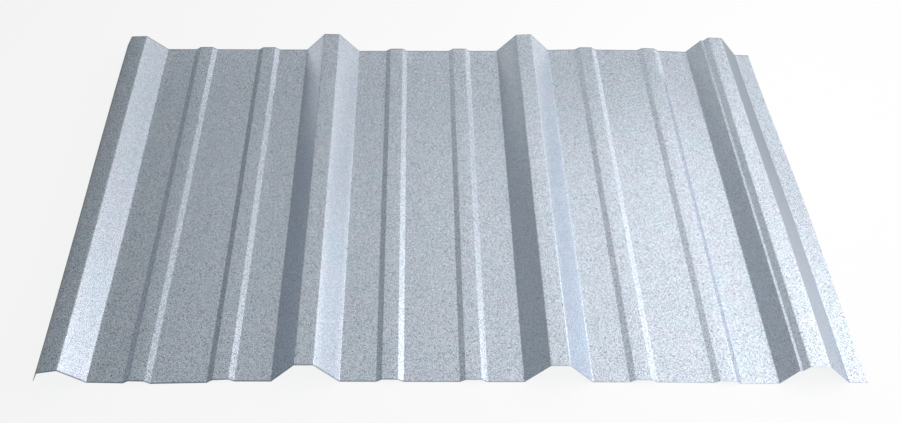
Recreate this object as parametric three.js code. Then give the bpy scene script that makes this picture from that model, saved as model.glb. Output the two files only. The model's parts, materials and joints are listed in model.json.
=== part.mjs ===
// A ribbed steel roofing sheet: one strip of thin galvanised steel, roll-formed into four tall ribs
// with low stiffening ribs in the pans between them.
// Millimetres. X runs across the ribs, Y along them, Z up. The origin is at the middle of the
// footprint, on the floor that the pans lie on.
import * as THREE from "three";

// The strip
const sheetLength = 660;
const steelThickness = 0.5;

// Tall ribs. Every height and width is measured on the middle of the steel's thickness.
const ribCount = 4;
const ribPitch = 304.8;
const ribHeight = 31.75;
const ribBaseWidth = 82.2;
const ribTopWidth = 23;
const ribBendRadius = 2;

// Low stiffening ribs: two in each pan, each this far from the foot of the tall rib beside it
const stiffenerInset = 44.2;
const stiffenerBaseWidth = 33.4;
const stiffenerTopWidth = 19;
const stiffenerHeight = 4.4;
const stiffenerBendRadius = 3;

// First rib: it laps over the last rib of the next sheet, and ends in a short lip turned down
const lipDrop = 16;
const lipRun = 9.4;

// Last rib: a drain groove along its inner side, and a flat leg beside it that bears on the purlin
const grooveBelowTop = 6.35;
const grooveWidth = 2.9;
const grooveDepth = 1.3;
const grooveBendRadius = 0.6;
const bearingLegWidth = 24;

// Each bend is an arc of this many flat steps on either face of the steel.
const stepsPerBend = 4;

const webRun = (ribBaseWidth - ribTopWidth) / 2;
const stiffenerRun = (stiffenerBaseWidth - stiffenerTopWidth) / 2;

// One corner of the bent strip's middle line, with the radius of the bend there (0 at a cut edge).
const corner = (x, z, bendRadius = ribBendRadius) => ({
  at: new THREE.Vector2(x, z),
  bendRadius,
});

function ribFromTop(centre) {
  return [
    corner(centre - ribTopWidth / 2, ribHeight),
    corner(centre + ribTopWidth / 2, ribHeight),
    corner(centre + ribBaseWidth / 2, 0),
  ];
}

function stiffener(leftFoot) {
  const bend = stiffenerBendRadius;
  return [
    corner(leftFoot, 0, bend),
    corner(leftFoot + stiffenerRun, stiffenerHeight, bend),
    corner(leftFoot + stiffenerRun + stiffenerTopWidth, stiffenerHeight, bend),
    corner(leftFoot + stiffenerBaseWidth, 0, bend),
  ];
}

// The pan to the right of the rib at this centre, with its two stiffeners
function pan(ribCentre) {
  const firstFoot = ribCentre + ribBaseWidth / 2 + stiffenerInset;
  const nextRibFoot = ribCentre + ribPitch - ribBaseWidth / 2;
  const secondFoot = nextRibFoot - stiffenerInset - stiffenerBaseWidth;
  return [...stiffener(firstFoot), ...stiffener(secondFoot)];
}

// The groove's two corners: the side climbs to a shoulder, steps in and down, and goes on to the
// rib's top at the slope that the other ribs have.
function drainGroove(ribCentre) {
  const shoulderHeight = ribHeight - grooveBelowTop;
  const bottomHeight = shoulderHeight - grooveDepth;
  const bottom = ribCentre - ribTopWidth / 2 - (webRun * (ribHeight - bottomHeight)) / ribHeight;
  return [
    corner(bottom - grooveWidth, shoulderHeight, grooveBendRadius),
    corner(bottom, bottomHeight, grooveBendRadius),
  ];
}

// The whole middle line, from the lip's edge to the edge of the bearing leg
function middleLine() {
  const lipEdge = corner(-ribTopWidth / 2 - lipRun, ribHeight - lipDrop, 0);
  const line = [lipEdge, ...ribFromTop(0)];
  for (let rib = 1; rib < ribCount; rib += 1) {
    const centre = rib * ribPitch;
    line.push(...pan(centre - ribPitch), corner(centre - ribBaseWidth / 2, 0));
    if (rib === ribCount - 1) line.push(...drainGroove(centre));
    line.push(...ribFromTop(centre));
  }
  const lastFoot = (ribCount - 1) * ribPitch + ribBaseWidth / 2;
  line.push(corner(lastFoot + bearingLegWidth, 0, 0));
  return line;
}

// The arc that rounds one corner: its centre and radius, the side it turns to (1 is left), and where
// it starts and ends
function bendAt(before, { at, bendRadius }, after) {
  const inward = at.clone().sub(before).normalize();
  const outward = after.clone().sub(at).normalize();
  const turn = Math.atan2(inward.cross(outward), inward.dot(outward));
  const side = Math.sign(turn);
  const radius = bendRadius + steelThickness / 2;
  const centre = at
    .clone()
    .addScaledVector(inward, -radius * Math.tan(Math.abs(turn) / 2))
    .addScaledVector(leftOf(inward), side * radius);
  const start = inward.angle() - (side * Math.PI) / 2;
  return { centre, radius, side, start, end: start + turn };
}

const leftOf = (direction) => new THREE.Vector2(-direction.y, direction.x);

// The closed outline of the strip's section: across the cut edge of the lip, out along the lower
// face of the steel, across the edge of the bearing leg, and back along the upper face
function section() {
  const line = middleLine();
  const points = line.map(({ at }) => at);
  const bends = line.slice(1, -1).map((bent, i) => bendAt(points[i], bent, points[i + 2]));
  const outline = new THREE.Shape();

  // face is 1 for the upper face, which is on the left of the line, and -1 for the lower.
  const offset = (face) => (face * steelThickness) / 2;
  const edgePoint = (edge, direction, face) =>
    edge.clone().addScaledVector(leftOf(direction.clone().normalize()), offset(face));
  const lipDirection = points[1].clone().sub(points[0]);
  const legDirection = points.at(-1).clone().sub(points.at(-2));
  const upperLip = edgePoint(points[0], lipDirection, 1);
  const lowerLip = edgePoint(points[0], lipDirection, -1);
  const lowerLeg = edgePoint(points.at(-1), legDirection, -1);
  const upperLeg = edgePoint(points.at(-1), legDirection, 1);

  outline.moveTo(upperLip.x, upperLip.y);
  outline.lineTo(lowerLip.x, lowerLip.y);
  for (const { centre, radius, side, start, end } of bends)
    outline.absarc(centre.x, centre.y, radius - side * offset(-1), start, end, side < 0);
  outline.lineTo(lowerLeg.x, lowerLeg.y);
  outline.lineTo(upperLeg.x, upperLeg.y);
  for (const { centre, radius, side, start, end } of bends.toReversed())
    outline.absarc(centre.x, centre.y, radius - side * offset(1), end, start, side > 0);
  outline.closePath();
  return outline;
}

function ribbedSheet() {
  const geometry = new THREE.ExtrudeGeometry(section(), {
    depth: sheetLength,
    bevelEnabled: false,
    curveSegments: stepsPerBend / 2, // an arc gets two steps for each curve segment
  });
  const galvanised = new THREE.MeshStandardMaterial({
    name: "galvanised_steel",
    color: 0xa6adb4,
    roughness: 0.42,
    metalness: 1,
  });
  const sheet = new THREE.Mesh(geometry, galvanised);
  sheet.name = "ribbed_sheet";

  // The section is drawn in X and Y and pushed out along Z: stand it up, so that its height is Z.
  sheet.rotation.x = Math.PI / 2;
  geometry.computeBoundingBox();
  const { min, max } = geometry.boundingBox;
  sheet.position.set(-(min.x + max.x) / 2, sheetLength / 2, -min.y);
  return sheet;
}

const part = new THREE.Group();
part.name = "ribbed_roofing_sheet";
part.add(ribbedSheet());

export default part;
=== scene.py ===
import json
import math

import bmesh
import bpy
from mathutils import Matrix, Vector


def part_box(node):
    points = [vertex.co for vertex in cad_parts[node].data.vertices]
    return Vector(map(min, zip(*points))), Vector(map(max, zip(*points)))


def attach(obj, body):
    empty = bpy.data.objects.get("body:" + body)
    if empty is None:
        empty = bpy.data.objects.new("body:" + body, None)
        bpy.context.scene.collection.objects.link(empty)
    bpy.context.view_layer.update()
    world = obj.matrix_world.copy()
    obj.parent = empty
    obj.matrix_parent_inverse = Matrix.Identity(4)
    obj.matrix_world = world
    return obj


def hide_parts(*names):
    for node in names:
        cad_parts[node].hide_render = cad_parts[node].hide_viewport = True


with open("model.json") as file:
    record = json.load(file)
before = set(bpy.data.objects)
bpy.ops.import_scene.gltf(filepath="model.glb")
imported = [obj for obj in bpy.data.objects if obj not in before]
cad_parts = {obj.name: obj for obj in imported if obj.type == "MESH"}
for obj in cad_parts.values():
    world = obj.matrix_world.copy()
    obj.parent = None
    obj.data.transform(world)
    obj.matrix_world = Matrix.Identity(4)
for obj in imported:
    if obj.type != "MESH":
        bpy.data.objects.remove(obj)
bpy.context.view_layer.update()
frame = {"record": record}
sheetNode = "ribbed_sheet"
print("frame loaded")


# The camera stands in front of the sheet's cut end and looks down on it.
cameraSetup = {
    "place": (-0.0429, -1.159, 1.1074),
    "lookDown": 44.66,
    "turn": 0.525,
    "roll": -0.313,
    "lens": 45.51,
    "sensor": 36.0,
    "shiftAcross": 0.0476,
}


def addCamera():
    down, turn, roll = (math.radians(cameraSetup[k]) for k in ("lookDown", "turn", "roll"))
    bpy.ops.object.camera_add(location=cameraSetup["place"])
    camera = bpy.context.object
    camera.name = "camera"
    aim = Matrix.Rotation(turn, 3, "Z") @ Matrix.Rotation(math.pi / 2 - down, 3, "X")
    camera.rotation_euler = (aim @ Matrix.Rotation(roll, 3, "Z")).to_euler()
    camera.data.lens = cameraSetup["lens"]
    camera.data.sensor_width = cameraSetup["sensor"]
    camera.data.shift_x = cameraSetup["shiftAcross"]
    bpy.context.scene.camera = camera


addCamera()
print("camera placed")


# The steel strip, in metres. Places and bends are those of the middle of its thickness.
strip = {
    "steel": 0.0005,
    "ribBase": 0.0822,
    "ribTop": 0.023,
    "ribBend": 0.00225,
    "stiffenerInset": 0.0442,
    "stiffenerBase": 0.0334,
    "stiffenerTop": 0.019,
    "stiffenerHeight": 0.0044,
    "stiffenerBend": 0.002,
    "lipDrop": 0.016,
    "lipRun": 0.0089,
    "grooveBelowTop": 0.00635,
    "grooveWidth": 0.0029,
    "grooveDepth": 0.0013,
    "grooveBend": 0.00085,
    "legWidth": 0.024,
    "bendSteps": 5,
    "cutsAlong": 43,
    "cutsAcross": 3,
    "edgeRow": 0.003,
    "wideFlat": 0.018,
    "smoothBelow": 22,
}
hair = 1e-5  # places nearer than this, in metres, are the same
low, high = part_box(sheetNode)
mountX = {m["name"]: m["pos_m"][0] for m in frame["record"]["mounts"]}
ribCentres = [mountX[name] for name in ("lap_underside", "rib_top_2", "rib_top_3", "lap_seat")]
middleZ = low.z + strip["steel"] / 2
ribHeight = high.z - low.z - strip["steel"]


def ribFolds(rib, centre):
    top, base, bend = strip["ribTop"] / 2, strip["ribBase"] / 2, strip["ribBend"]
    folds = [
        (rib + "RightFoot", centre + base, 0, bend),
        (rib + "TopRight", centre + top, ribHeight, bend),
        (rib + "TopLeft", centre - top, ribHeight, bend),
    ]
    if centre == ribCentres[-1]:  # the drain groove, from its bottom to its shoulder
        shoulder = ribHeight - strip["grooveBelowTop"]
        bottom = shoulder - strip["grooveDepth"]
        x = centre - top - (base - top) * (ribHeight - bottom) / ribHeight
        folds.append(("grooveBottom", x, bottom, strip["grooveBend"]))
        folds.append(("grooveShoulder", x - strip["grooveWidth"], shoulder, strip["grooveBend"]))
    return folds + [(rib + "LeftFoot", centre - base, 0, bend)]


def stiffenerFolds(stiffener, rightFoot):
    run = (strip["stiffenerBase"] - strip["stiffenerTop"]) / 2
    tall, bend = strip["stiffenerHeight"], strip["stiffenerBend"]
    return [
        (stiffener + "RightFoot", rightFoot, 0, bend),
        (stiffener + "TopRight", rightFoot - run, tall, bend),
        (stiffener + "TopLeft", rightFoot - run - strip["stiffenerTop"], tall, bend),
        (stiffener + "LeftFoot", rightFoot - strip["stiffenerBase"], 0, bend),
    ]


# Every row of the strip, from the edge of the bearing leg to the edge of the lip: name, x, z, bend
def stripRows():
    reach = strip["ribBase"] / 2 + strip["stiffenerInset"]
    rows = []
    for i in range(len(ribCentres) - 1, 0, -1):
        rows += ribFolds(f"rib{i + 1}", ribCentres[i])
        rows += stiffenerFolds(f"stiffener{2 * i}", ribCentres[i] - reach)
        rows += stiffenerFolds(f"stiffener{2 * i - 1}", ribCentres[i - 1] + reach + strip["stiffenerBase"])
    rows += ribFolds("rib1", ribCentres[0])[:-1]
    leg = ("legEdge", rows[0][1] + strip["legWidth"], 0, 0)
    lip = ("lipEdge", rows[-1][1] - strip["lipRun"], ribHeight - strip["lipDrop"], 0)
    return [leg, *rows, lip]


def pickEdges(wanted):
    bm = bmesh.from_edit_mesh(bpy.context.object.data)
    for edge in bm.edges:
        edge.select_set(wanted(edge.verts[0].co, edge.verts[1].co))
    bm.select_flush_mode()
    bmesh.update_edit_mesh(bpy.context.object.data)


def nameRow(name):
    bpy.ops.object.vertex_group_remove_from(use_all_groups=True)
    bpy.ops.object.vertex_group_assign_new()
    bpy.context.object.vertex_groups.active.name = name


def pickRow(name):
    bpy.ops.mesh.select_all(action="DESELECT")
    bpy.ops.object.vertex_group_set_active(group=name)
    bpy.ops.object.vertex_group_select()


# The bearing leg is the first flat, and the rest is drawn out of its inner edge fold by fold.
def drawStrip(rows):
    legEdge, foot = rows[0][1], rows[1][1]
    bpy.ops.object.select_all(action="DESELECT")
    bpy.ops.mesh.primitive_plane_add(size=1, location=((legEdge + foot) / 2, 0, middleZ))
    piece = bpy.context.object
    piece.name = "ribbed_roofing_sheet"
    piece.scale = (strip["legWidth"], high.y - low.y, 1)
    bpy.ops.object.transform_apply(location=True, rotation=True, scale=True)
    bpy.ops.object.mode_set(mode="EDIT")
    bpy.ops.mesh.select_mode(type="EDGE")
    for name, x, z, bend in rows[:2]:
        pickEdges(lambda a, b: abs(a.x - x) + abs(b.x - x) < hair)
        nameRow(name)
    for here, there in zip(rows[1:], rows[2:]):
        step = (there[1] - here[1], 0, there[2] - here[2])
        bpy.ops.mesh.extrude_edges_move(TRANSFORM_OT_translate={"value": step})
        nameRow(there[0])
    pickEdges(lambda a, b: abs(a.y - b.y) > hair)
    bpy.ops.mesh.subdivide(number_cuts=strip["cutsAlong"])
    for y in (low.y + strip["edgeRow"], high.y - strip["edgeRow"]):
        bpy.ops.mesh.select_all(action="SELECT")
        bpy.ops.mesh.bisect(plane_co=(0, y, 0), plane_no=(0, 1, 0))
    return piece


# Where the steel is bared or carries painted shade, from 0 to 1: along the cut ends, where the shears
# bared it, with painted shade that darkens the front end more at the left than at the right, and
# painted shade on the last rib's outer web, more towards the back
dulledAndShadedPlaces = {
    "frontEndMiddle": 0.72,
    "frontEndPerMetre": -1.3,
    "frontEndLeast": 0.3,
    "legWebFront": 0.30,
    "legWebRise": 1.1,
    "webOffFlat": 0.0001,
}


def markPlaces(piece, name, dullingAndShadeAt):
    bpy.ops.object.mode_set(mode="OBJECT")
    mark = piece.data.attributes.new(name, "FLOAT", "POINT")
    for vertex, point in zip(piece.data.vertices, mark.data):
        point.value = dullingAndShadeAt(vertex.co)


def atCutEnd(co):
    isEnd = min(co.y - low.y, high.y - co.y) < hair
    # the bared steel is real; its grading darker towards the left along the front end is painted shade
    front = dulledAndShadedPlaces["frontEndMiddle"] + dulledAndShadedPlaces["frontEndPerMetre"] * co.x
    return isEnd * (1 if co.y > 0 else min(max(front, dulledAndShadedPlaces["frontEndLeast"]), 1))


def atLip(co):
    return float(abs(co.x - rows[-1][1]) < hair)


# Painted shade on the last rib's outer web, darker towards the back
def onLegWeb(co):
    margin = dulledAndShadedPlaces["webOffFlat"]
    isWeb = co.x > ribCentres[-1] and margin < co.z - middleZ < ribHeight - margin
    back = (co.y - low.y) / (high.y - low.y)
    return isWeb * min(dulledAndShadedPlaces["legWebFront"] + dulledAndShadedPlaces["legWebRise"] * back, 1)


# The ends are cut by hand, so they aren't quite square, and the outer ribs have sprung a little.
# Each knot is an x on the sheet, and how far the strip's end lies across and along from true there.
handCut = {
    "frontEnd": [
        (-0.500, 0.0035, -0.0120),
        (-0.491, 0.0026, -0.0130),
        (-0.468, 0.0022, -0.0092),
        (-0.438, 0.0, -0.0022),
        (-0.330, 0.0, -0.0045),
        (-0.260, 0.0, 0.0),
        (0.300, 0.0, 0.0),
        (0.360, 0.0, -0.0025),
        (0.420, 0.0010, -0.0010),
        (0.476, 0.0025, 0.0),
        (0.500, 0.0005, 0.0),
    ],
    "backEnd": [
        (-0.500, -0.0032, -0.0048),
        (-0.468, -0.0022, -0.0037),
        (-0.438, -0.0035, 0.0046),
        (-0.394, -0.0017, 0.0046),
        (-0.215, -0.0009, 0.0035),
        (-0.133, 0.0005, 0.0),
        (0.120, 0.0, 0.0),
        (0.200, 0.0, 0.0040),
        (0.300, 0.0, 0.0030),
        (0.394, -0.0009, -0.0025),
        (0.424, -0.0006, -0.0075),
        (0.447, -0.0032, -0.0090),
        (0.476, -0.0059, -0.0105),
        (0.500, -0.0085, -0.0120),
    ],
    "reach": 0.42,
}


def offTrue(knots, x):
    for (x0, across0, along0), (x1, across1, along1) in zip(knots, knots[1:]):
        if x <= x1 or (x1, across1, along1) == knots[-1]:
            t = min(max((x - x0) / (x1 - x0), 0), 1)
            return across0 + (across1 - across0) * t, along0 + (along1 - along0) * t


def pullEnds(rows):
    for name, x, z, bend in rows:
        for end, endY in (("frontEnd", low.y), ("backEnd", high.y)):
            across, along = offTrue(handCut[end], x)
            pickRow(name)
            bpy.ops.mesh.hide(unselected=True)
            pickVertices(lambda co: abs(co.y - endY) < hair)
            bpy.ops.transform.translate(
                value=(across, along, 0),
                use_proportional_edit=True,
                proportional_edit_falloff="SMOOTH",
                proportional_size=handCut["reach"],
            )
            bpy.ops.mesh.reveal(select=False)


def pickVertices(wanted):
    bm = bmesh.from_edit_mesh(bpy.context.object.data)
    for vertex in bm.verts:
        vertex.select_set(wanted(vertex.co) and not vertex.hide)
    bmesh.update_edit_mesh(bpy.context.object.data)


# A bend of radius r that turns by an angle takes r tan(angle / 2) of the flat on either side.
def roundFolds(piece, rows):
    takes = {}
    for before, fold, after in zip(rows, rows[1:], rows[2:]):
        inward = Vector((fold[1] - before[1], fold[2] - before[2]))
        outward = Vector((after[1] - fold[1], after[2] - fold[2]))
        takes[fold[0]] = fold[3] * math.tan(inward.angle(outward) / 2)
    widest = max(takes.values())
    for name, take in takes.items():
        pickRow(name)
        bpy.ops.transform.edge_bevelweight(value=take / widest)
    bpy.ops.object.mode_set(mode="OBJECT")
    bends = piece.modifiers.new("bends", "BEVEL")
    bends.limit_method = "WEIGHT"
    bends.offset_type = "OFFSET"
    bends.width = widest
    bends.segments = strip["bendSteps"]
    bpy.ops.object.modifier_apply(modifier=bends.name)


def cutFlats():
    bpy.ops.object.mode_set(mode="EDIT")
    wide = strip["wideFlat"]
    pickEdges(lambda a, b: abs(a.x - b.x) > abs(a.y - b.y) and (a - b).length > wide)
    bpy.ops.mesh.subdivide(number_cuts=strip["cutsAcross"])
    bpy.ops.mesh.select_all(action="SELECT")
    bpy.ops.mesh.normals_make_consistent(inside=False)
    bpy.ops.object.mode_set(mode="OBJECT")


def thicken(piece):
    wall = piece.modifiers.new("steel", "SOLIDIFY")
    wall.thickness = strip["steel"]
    wall.offset = 0
    wall.use_even_offset = True
    wall.material_offset_rim = 1
    bpy.ops.object.modifier_apply(modifier=wall.name)
    bpy.ops.object.shade_smooth_by_angle(angle=math.radians(strip["smoothBelow"]))
    piece.vertex_groups.clear()


rows = stripRows()
sheet = drawStrip(rows)
markPlaces(sheet, "cutEnd", atCutEnd)
# where the lip's painted shade goes
markPlaces(sheet, "lipRim", atLip)
bpy.ops.object.mode_set(mode="EDIT")
pullEnds(rows)
roundFolds(sheet, rows)
cutFlats()
# painted shade on the last rib's outer web
markPlaces(sheet, "legWeb", onLegWeb)
print("strip folded:", len(sheet.data.polygons), "faces")


# What a node is given is another node's output, or a plain number, vector or colour.
def give(tree, socket, value):
    if isinstance(value, bpy.types.NodeSocket):
        tree.links.new(value, socket)
    else:
        socket.default_value = value


def combine(tree, kind, operation, *values):
    node = tree.nodes.new(kind)
    node.operation = operation
    for socket, value in zip(node.inputs, values):
        give(tree, socket, value)
    return node.outputs[0]


def number(tree, operation, *values):
    return combine(tree, "ShaderNodeMath", operation, *values)


def vector(tree, operation, *values):
    return combine(tree, "ShaderNodeVectorMath", operation, *values)


def split(tree, value):
    node = tree.nodes.new("ShaderNodeSeparateXYZ")
    give(tree, node.inputs["Vector"], value)
    return node.outputs


def rescale(tree, value, before=(0, 1), after=(0, 1), easing="LINEAR"):
    node = tree.nodes.new("ShaderNodeMapRange")
    node.interpolation_type = easing
    give(tree, node.inputs["Value"], value)
    node.inputs["From Min"].default_value, node.inputs["From Max"].default_value = before
    node.inputs["To Min"].default_value, node.inputs["To Max"].default_value = after
    return node.outputs["Result"]


def mix(tree, share, first, second, kind="RGBA"):
    node = tree.nodes.new("ShaderNodeMix")
    node.data_type = kind
    for name, value in (("Factor", share), ("A", first), ("B", second)):
        give(tree, node.inputs[name], value)
    return node.outputs["Result"]


def noise(tree, place, perMetre, detail=2, roughness=0.5):
    node = tree.nodes.new("ShaderNodeTexNoise")
    names = ("Vector", "Scale", "Detail", "Roughness")
    for name, value in zip(names, (place, perMetre, detail, roughness)):
        give(tree, node.inputs[name], value)
    return node.outputs["Fac"]


def marked(tree, name):
    node = tree.nodes.new("ShaderNodeAttribute")
    node.attribute_name = name
    return node.outputs["Fac"]


def newMaterial(name):
    material = bpy.data.materials.new(name)
    material.use_nodes = True
    tree = material.node_tree
    return material, tree, tree.nodes["Principled BSDF"].inputs


# The zinc coat: fine crystals that each lie at a slight angle, under a faint drifting tint
zinc = {
    "metal": 0.88,
    "coolGrey": (0.594, 0.664, 0.751, 1),
    "warmGrey": (0.624, 0.660, 0.751, 1),
    "tintsPerMetre": 26,
    "tintEdges": (0.35, 0.65),
    "crystalsPerMetre": 2100,
    "crystalTilt": 0.19,
    "crystalDraws": (0.19, 0.40),  # of draws from 0 to 1, those below are darkest and those above lightest
    "crystalShade": (-0.80, 0.33),  # how much darker and lighter than the tint
    "roughness": (0.25, 0.33),
    "steepFrom": (0.72, 0.84),  # how upright the surface faces, from 0 on a wall to 1 on the level
    "shownOnSteep": 0.66,
}

# Steel that the shears bared; its colour and roughness also paint shade on the last rib's outer web
bare = {
    "steel": (0.32, 0.355, 0.405, 1),
    "scratched": (0.66, 0.69, 0.73, 1),
    "roughness": 0.55,
    "edgeRoughness": 0.5,
    "scratchesPerMetre": 700,
    "cutEdges": (0.75, 1.15),
}

# Painted shade on the lip: a mottled dark grey that takes the place of the metal
lipShade = {
    "dark": (0.36, 0.38, 0.40, 1),
    "pale": (0.56, 0.585, 0.61, 1),
    "blotchesPerMetre": 90,
    "blotchDetail": 6,
    "blotchRoughness": 0.7,
    "blotchEdges": (0.4, 0.6),
    "reach": 0.04,  # of the way down the lip
    "depth": 0.95,
}


def galvanisedSteel():
    material, tree, shader = newMaterial("galvanisedSteel")
    give(tree, shader["Specular IOR Level"], 0)
    place = tree.nodes.new("ShaderNodeTexCoord").outputs["Object"]
    facing = tree.nodes.new("ShaderNodeNewGeometry").outputs["Normal"]
    crystals = tree.nodes.new("ShaderNodeTexVoronoi")
    give(tree, crystals.inputs["Vector"], place)
    give(tree, crystals.inputs["Scale"], zinc["crystalsPerMetre"])
    random = crystals.outputs["Color"]
    draws = split(tree, random)

    # each crystal leans its own way
    tilt = zinc["crystalTilt"]
    lean = vector(tree, "MULTIPLY_ADD", random, (tilt,) * 3, (-tilt / 2,) * 3)
    give(tree, shader["Normal"], vector(tree, "NORMALIZE", vector(tree, "ADD", facing, lean)))

    # each has its own shade and gloss, but the shades show less where the rolls smoothed the steep webs
    upright = number(tree, "ABSOLUTE", split(tree, facing)["Z"])
    show = rescale(tree, upright, zinc["steepFrom"], (zinc["shownOnSteep"], 1))
    shade = rescale(tree, draws["X"], zinc["crystalDraws"], zinc["crystalShade"])
    shade = number(tree, "MULTIPLY_ADD", shade, show, 1)
    gloss = rescale(tree, draws["Y"], after=zinc["roughness"])
    drift = rescale(tree, noise(tree, place, zinc["tintsPerMetre"]), zinc["tintEdges"])
    tint = mix(tree, drift, zinc["coolGrey"], zinc["warmGrey"])
    coat = vector(tree, "MULTIPLY", tint, shade)

    # bared by the shears along the cut ends, with painted shade that darkens the front end towards the left,
    # and painted shade, with rougher steel, on the last rib's outer web
    scratches = noise(tree, place, bare["scratchesPerMetre"])
    cut = rescale(tree, number(tree, "ADD", marked(tree, "cutEnd"), scratches), bare["cutEdges"])
    wornAndShaded = number(tree, "MAXIMUM", cut, marked(tree, "legWeb"))
    coat = mix(tree, wornAndShaded, coat, bare["steel"])
    give(tree, shader["Roughness"], mix(tree, wornAndShaded, gloss, bare["roughness"], "FLOAT"))

    # painted shade all over the lip: a mottled dark grey, not metal
    blotches = noise(
        tree, place, lipShade["blotchesPerMetre"], lipShade["blotchDetail"], lipShade["blotchRoughness"]
    )
    mottled = mix(tree, rescale(tree, blotches, lipShade["blotchEdges"]), lipShade["dark"], lipShade["pale"])
    shadedLip = rescale(tree, marked(tree, "lipRim"), (0, lipShade["reach"]), (0, lipShade["depth"]))
    give(tree, shader["Base Color"], mix(tree, shadedLip, coat, mottled))
    give(tree, shader["Metallic"], rescale(tree, shadedLip, after=(zinc["metal"], 0)))
    return material


# The rim of the sheet, where the cut shows the steel, with the lip's painted shade along the lip's rim
def bareEdge():
    material, tree, shader = newMaterial("bareEdge")
    place = tree.nodes.new("ShaderNodeTexCoord").outputs["Object"]
    scratches = noise(tree, place, bare["scratchesPerMetre"])
    # painted shade along the lip's rim
    shadedLip = marked(tree, "lipRim")
    steel = mix(tree, scratches, bare["steel"], bare["scratched"])
    give(tree, shader["Base Color"], mix(tree, shadedLip, steel, lipShade["dark"]))
    give(tree, shader["Metallic"], rescale(tree, shadedLip, after=(zinc["metal"], 0)))
    give(tree, shader["Roughness"], bare["edgeRoughness"])
    return material


sheet.data.materials.append(galvanisedSteel())
sheet.data.materials.append(bareEdge())
thicken(sheet)
print("sheet thickened:", len(sheet.data.polygons), "faces")
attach(sheet, "root")
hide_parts(sheetNode)


studio = {
    "floorSize": 60,
    "floorPale": (1, 1, 1, 1),
    "floorGrey": (0.9, 0.9, 0.9, 1),
    "floorRoughness": 0.9,
    "floorSheen": 0.2,
    "floorLit": 0.16,  # how much of the floor's look comes from the lamps
    "room": (0.257, 0.274, 0.274, 1),
    "skyline": (0.86, 0.86, 0.86, 1),
    "skylineHeight": 0.05,
    # a soft panel over the sheet, brighter towards the right: place and size, then what it sheds
    "panelHeight": 0.399,
    "panelAcross": (-0.690, 0.851),
    "panelAlong": (-0.890, 0.772),
    "panelEdge": 0.3,
    "panelRise": (-0.414, 0.912),
    "panelGlow": (0.265, 1.148),
    # soft lamps behind and to the right: place, size, what they shed, and their spread in degrees
    "sideLamps": [
        ((0.781, 1.200, 0.447), (2.475, 0.619), 0.595, 180),
        ((1.102, -0.006, 0.647), (1.360, 0.676), 1.395, 180),
        ((-0.161, 1.244, 0.477), (1.051, 0.393), 0.437, 180),
        ((0.897, 0.895, 0.267), (0.883, 0.406), 0.375, 140),
        ((1.045, 0.415, 0.150), (0.950, 0.230), 0.800, 140),
    ],
    "lampTint": (1.0, 0.99, 0.975),
}


# The floor shows the camera, glass and metal its own pale colour, and darkens under the sheet.
def addFloor():
    bpy.ops.object.select_all(action="DESELECT")
    bpy.ops.mesh.primitive_plane_add(size=studio["floorSize"])
    floor = bpy.context.object
    floor.name = "floor"
    material, tree, lit = newMaterial("paleFloor")
    give(tree, lit["Base Color"], studio["floorGrey"])
    give(tree, lit["Roughness"], studio["floorRoughness"])
    give(tree, lit["Specular IOR Level"], studio["floorSheen"])
    pale = tree.nodes.new("ShaderNodeEmission")
    give(tree, pale.inputs["Color"], studio["floorPale"])
    rays = tree.nodes.new("ShaderNodeLightPath").outputs
    seen = number(tree, "MAXIMUM", rays["Is Camera Ray"], rays["Is Glossy Ray"])
    seen = number(tree, "MAXIMUM", seen, rays["Is Transmission Ray"])
    both = tree.nodes.new("ShaderNodeMixShader")
    give(tree, both.inputs["Fac"], number(tree, "MULTIPLY", seen, 1 - studio["floorLit"]))
    give(tree, both.inputs[1], tree.nodes["Principled BSDF"].outputs["BSDF"])
    give(tree, both.inputs[2], pale.outputs["Emission"])
    give(tree, tree.nodes["Material Output"].inputs["Surface"], both.outputs["Shader"])
    floor.data.materials.append(material)


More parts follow.
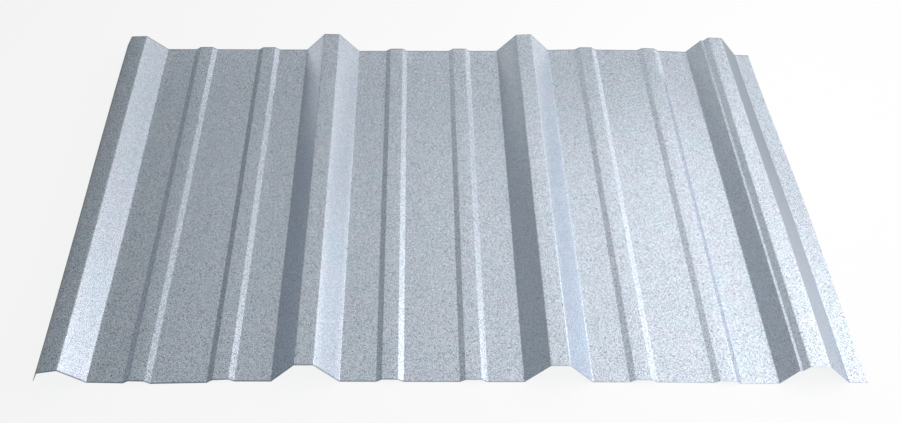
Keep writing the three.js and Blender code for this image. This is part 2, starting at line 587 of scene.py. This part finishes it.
# The room is as pale as the floor where they meet, and darkens above.
def lightRoom():
    world = bpy.data.worlds.new("studio")
    world.use_nodes = True
    tree = world.node_tree
    height = split(tree, tree.nodes.new("ShaderNodeTexCoord").outputs["Generated"])["Z"]
    above = rescale(tree, height, (0, studio["skylineHeight"]), easing="SMOOTHSTEP")
    give(tree, tree.nodes["Background"].inputs["Color"], mix(tree, above, studio["skyline"], studio["room"]))
    bpy.context.scene.world = world


# A lamp with a narrower spread sends its power out over a smaller angle, so it needs less of it.
def narrowed(spread):
    half = math.radians(spread) / 2
    return math.sin(half) ** 2 - (half - math.sin(half) * math.cos(half)) / math.tan(half)


# An area lamp that looks at the sheet and sends out this much light from each part of its face
def addLamp(name, place, size, glow, spread=180, aim=Vector((0, 0, 0))):
    bpy.ops.object.light_add(type="AREA", location=place)
    lamp = bpy.context.object
    lamp.name = name
    lamp.rotation_euler = (aim - Vector(place)).to_track_quat("-Z", "Y").to_euler()
    lamp.data.shape = "RECTANGLE"
    lamp.data.size, lamp.data.size_y = size
    lamp.data.energy = glow * math.pi * size[0] * size[1] * narrowed(spread)
    lamp.data.spread = math.radians(spread)
    lamp.data.color = studio["lampTint"]
    return lamp


# The panel's edges fade out, and its light rises from left to right.
def addPanel():
    (left, right), (front, back) = studio["panelAcross"], studio["panelAlong"]
    place = Vector(((left + right) / 2, (front + back) / 2, studio["panelHeight"]))
    dim, bright = studio["panelGlow"]
    panel = addLamp("panel", place, (right - left, back - front), bright, aim=place - Vector((0, 0, 1)))
    panel.data.use_nodes = True
    tree = panel.data.node_tree
    spot = split(tree, tree.nodes.new("ShaderNodeNewGeometry").outputs["Position"])
    rise = rescale(tree, spot["X"], studio["panelRise"], easing="SMOOTHSTEP")
    glow = rescale(tree, rise, after=(dim / bright, 1))
    for along, edge, inward in (("X", left, 1), ("X", right, -1), ("Y", front, 1), ("Y", back, -1)):
        fade = (edge, edge + inward * studio["panelEdge"])
        glow = number(tree, "MULTIPLY", glow, rescale(tree, spot[along], fade, easing="SMOOTHSTEP"))
    give(tree, tree.nodes["Emission"].inputs["Strength"], glow)


addFloor()
lightRoom()
addPanel()
for i, (place, size, glow, spread) in enumerate(studio["sideLamps"]):
    addLamp(f"sideLamp{i + 1}", place, size, glow, spread)
bpy.context.scene.view_settings.view_transform = "Standard"
print("studio lit")
